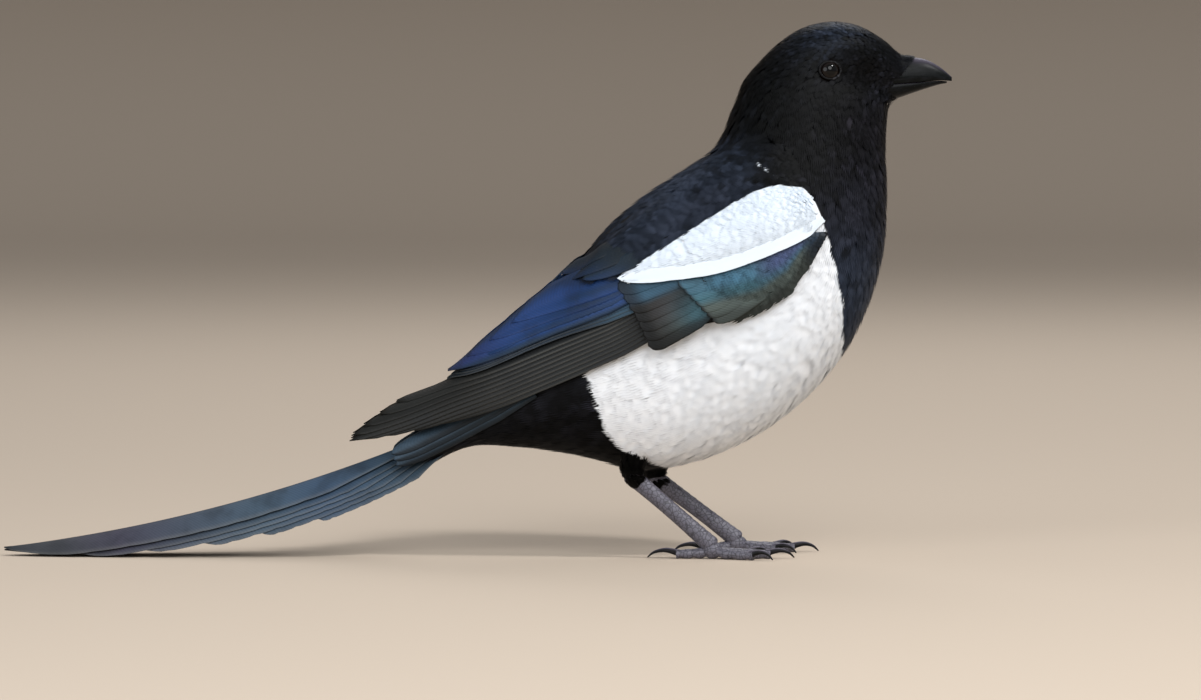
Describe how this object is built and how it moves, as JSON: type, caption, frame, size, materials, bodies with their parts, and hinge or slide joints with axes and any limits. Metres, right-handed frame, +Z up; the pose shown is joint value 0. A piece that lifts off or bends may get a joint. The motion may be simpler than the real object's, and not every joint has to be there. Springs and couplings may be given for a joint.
{
  "type": "bird model",
  "caption": "Life-size still model of a standing Eurasian magpie, black and white with glossy blue-green wings and a long graduated tail laid on the ground",
  "frame": {"origin": "on the ground, under the centre of the bird's bounding box", "axes": "+X towards the bill, +Y towards the bird's left side, +Z up"},
  "size_m": [0.379, 0.0866, 0.2138],
  "materials": {
    "plumage_black": "soft black feathers with a faint blue and violet sheen",
    "plumage_white": "soft white feathers",
    "wing_feathers": "glossy feathers shifting from blue to green and violet",
    "tail_feathers": "glossy feathers, blue-green turning violet towards the tip",
    "horn": "smooth blackish horn",
    "leg_skin": "blackish scaled skin",
    "eye": "wet, very dark brown"
  },
  "bodies": {
    "root": {"torso": "plumage_white", "neck": "plumage_black", "head": "plumage_black", "tail": "tail_feathers", "bill_upper": "horn", "bill_lower": "horn", "right_wing": "wing_feathers", "left_wing": "wing_feathers", "right_scapulars": "plumage_white", "left_scapulars": "plumage_white", "right_eye": "eye", "left_eye": "eye", "right_thigh": "plumage_black", "left_thigh": "plumage_black", "right_shin": "leg_skin", "left_shin": "leg_skin", "right_foot": "leg_skin", "left_foot": "leg_skin", "right_claw_1": "horn", "right_claw_2": "horn", "right_claw_3": "horn", "right_claw_4": "horn", "left_claw_1": "horn", "left_claw_2": "horn", "left_claw_3": "horn", "left_claw_4": "horn"}
  },
  "joints": []
}
